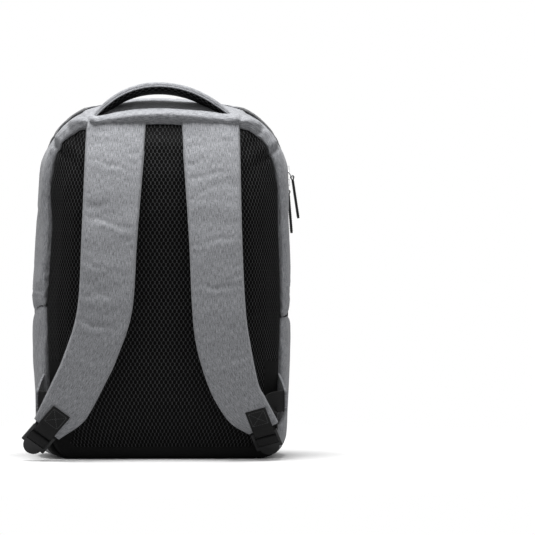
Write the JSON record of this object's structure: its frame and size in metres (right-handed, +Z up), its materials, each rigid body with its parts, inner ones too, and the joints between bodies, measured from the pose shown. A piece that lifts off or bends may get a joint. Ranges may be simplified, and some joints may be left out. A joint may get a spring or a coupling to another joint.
{
  "type": "solar backpack",
  "caption": "Round-shouldered day backpack with a flexible solar front panel, padded mesh back, shoulder straps, grab handle, fold-down front flap and zipped front pocket.",
  "frame": {"origin": "centre of the base's underside", "axes": "+Z up; shoulder straps face -Y and the solar panel faces +Y; +X is the wearer's right"},
  "size_m": [0.3382, 0.2148, 0.4511],
  "materials": {
    "melange_fabric": "grey heather polyester, satin",
    "lining_fabric": "woven nylon lining",
    "air_mesh": "black spacer mesh",
    "webbing": "black ribbed webbing",
    "zip_tape": "black woven tape",
    "zip_coil": "nylon coil",
    "board": "stiffener board",
    "buckle_plastic": "moulded acetal",
    "box_plastic": "moulded casing",
    "slider_metal": "bright nickel plate",
    "pull_leather": "stitched leather",
    "solar_sheet": "matt dark top sheet",
    "solar_cell": "dark cell",
    "lead": "black lead",
    "contact_metal": "plated steel"
  },
  "bodies": {
    "bag": {"base_panel": "melange_fabric", "base_board": "board", "rear_gusset": "melange_fabric", "left_lower_gusset": "melange_fabric", "right_lower_gusset": "melange_fabric", "left_gusset_foot": "melange_fabric", "right_gusset_foot": "melange_fabric", "laptop_divider": "lining_fabric", "back_pad": "air_mesh", "frame_sheet": "board", "main_zip_rear_tape": "zip_tape", "main_zip_rear_coil": "zip_coil", "main_zip_end_tapes": "zip_tape", "main_zip_end_coils": "zip_coil", "front_pocket_panel": "melange_fabric", "pocket_zip_tapes": "zip_tape", "pocket_zip_coils": "zip_coil", "pocket_lining": "lining_fabric", "left_wing": "melange_fabric", "right_wing": "melange_fabric", "left_lower_webbing": "webbing", "right_lower_webbing": "webbing"},
    "flap": {"front_gusset": "melange_fabric", "main_zip_front_tape": "zip_tape", "main_zip_front_coil": "zip_coil", "solar_cover": "solar_sheet", "solar_cells": "solar_cell", "panel_backing": "board", "panel_band": "melange_fabric", "flap_lining": "lining_fabric", "junction_box": "box_plastic", "regulator_case": "box_plastic", "panel_lead": "lead", "usb_socket": "contact_metal"},
    "handle": {"handle_cover": "melange_fabric", "handle_mesh": "air_mesh"},
    "left_strap": {"left_strap_pad": "melange_fabric", "left_strap_mesh": "air_mesh", "left_strap_tab": "webbing"},
    "left_buckle": {"left_ladder_lock": "buckle_plastic"},
    "right_strap": {"right_strap_pad": "melange_fabric", "right_strap_mesh": "air_mesh", "right_strap_tab": "webbing"},
    "right_buckle": {"right_ladder_lock": "buckle_plastic"},
    "upper_slider_body": {"upper_slider": "slider_metal"},
    "upper_ring_body": {"upper_slider_ring": "slider_metal"},
    "upper_pull_body": {"upper_slider_pull": "pull_leather"},
    "lower_slider_body": {"lower_slider": "slider_metal"},
    "lower_ring_body": {"lower_slider_ring": "slider_metal"},
    "lower_pull_body": {"lower_slider_pull": "pull_leather"},
    "pocket_slider_body": {"pocket_slider": "slider_metal"},
    "pocket_ring_body": {"pocket_slider_ring": "slider_metal"},
    "pocket_pull_body": {"pocket_slider_pull": "pull_leather"}
  },
  "joints": [
    {"name": "flap_hinge", "type": "hinge", "parent": "bag", "child": "flap", "pos_m": [0, 0.088, 0.212], "axis": [-1, 0, 0], "range_deg": [0, 50]},
    {"name": "handle_swing", "type": "hinge", "parent": "bag", "child": "handle", "pos_m": [0.005, -0.036, 0.413], "axis": [1, 0, 0], "range_deg": [-16, 35]},
    {"name": "left_strap_swing", "type": "hinge", "parent": "bag", "child": "left_strap", "pos_m": [0, -0.0585, 0.404], "axis": [-1, 0, 0], "range_deg": [0, 12]},
    {"name": "right_strap_swing", "type": "hinge", "parent": "bag", "child": "right_strap", "pos_m": [0, -0.0585, 0.404], "axis": [-1, 0, 0], "range_deg": [0, 12]},
    {"name": "left_buckle_tilt", "type": "hinge", "parent": "left_strap", "child": "left_buckle", "pos_m": [-0.1388, -0.101, 0.0338], "axis": [0.7786, 0.2351, -0.5818], "range_deg": [-15, 15]},
    {"name": "right_buckle_tilt", "type": "hinge", "parent": "right_strap", "child": "right_buckle", "pos_m": [0.1213, -0.0925, 0.0322], "axis": [0.9471, -0.1748, 0.2691], "range_deg": [-15, 15]},
    {"name": "upper_slider_travel", "type": "hinge", "parent": "bag", "child": "upper_slider_body", "pos_m": [0.0634, 0.012, 0.3388], "axis": [0, -1, 0], "range_deg": [0, 55]},
    {"name": "upper_ring_swing", "type": "hinge", "parent": "upper_slider_body", "child": "upper_ring_body", "pos_m": [0.15235, 0.012, 0.34239], "axis": [0, -1, 0], "range_deg": [-3, 100]},
    {"name": "upper_pull_swing", "type": "hinge", "parent": "upper_ring_body", "child": "upper_pull_body", "pos_m": [0.15759, 0.012, 0.33507], "axis": [0, -1, 0], "range_deg": [-6, 50]},
    {"name": "lower_slider_travel", "type": "slide", "parent": "bag", "child": "lower_slider_body", "axis": [-0.0242, 0, 0.9997], "range_m": [-0.125, 0]},
    {"name": "lower_ring_swing", "type": "hinge", "parent": "lower_slider_body", "child": "lower_ring_body", "pos_m": [0.1527, 0.012, 0.32657], "axis": [0, -1, 0], "range_deg": [0, 9]},
    {"name": "lower_pull_swing", "type": "hinge", "parent": "lower_ring_body", "child": "lower_pull_body", "pos_m": [0.15291, 0.012, 0.31758], "axis": [0, -1, 0], "range_deg": [0, 11]},
    {"name": "pocket_slider_travel", "type": "hinge", "parent": "bag", "child": "pocket_slider_body", "pos_m": [0.1026, 0.0379, 0.2055], "axis": [0, 0, 1], "range_deg": [-12, 40]},
    {"name": "pocket_ring_swing", "type": "hinge", "parent": "pocket_slider_body", "child": "pocket_ring_body", "pos_m": [0.14022, 0.07552, 0.2055], "axis": [0.7071, -0.7071, 0], "range_deg": [0, 22]},
    {"name": "pocket_pull_swing", "type": "hinge", "parent": "pocket_ring_body", "child": "pocket_pull_body", "pos_m": [0.14199, 0.07729, 0.1975], "axis": [0.7071, 0.7071, 0], "range_deg": [-40, 40]}
  ]
}
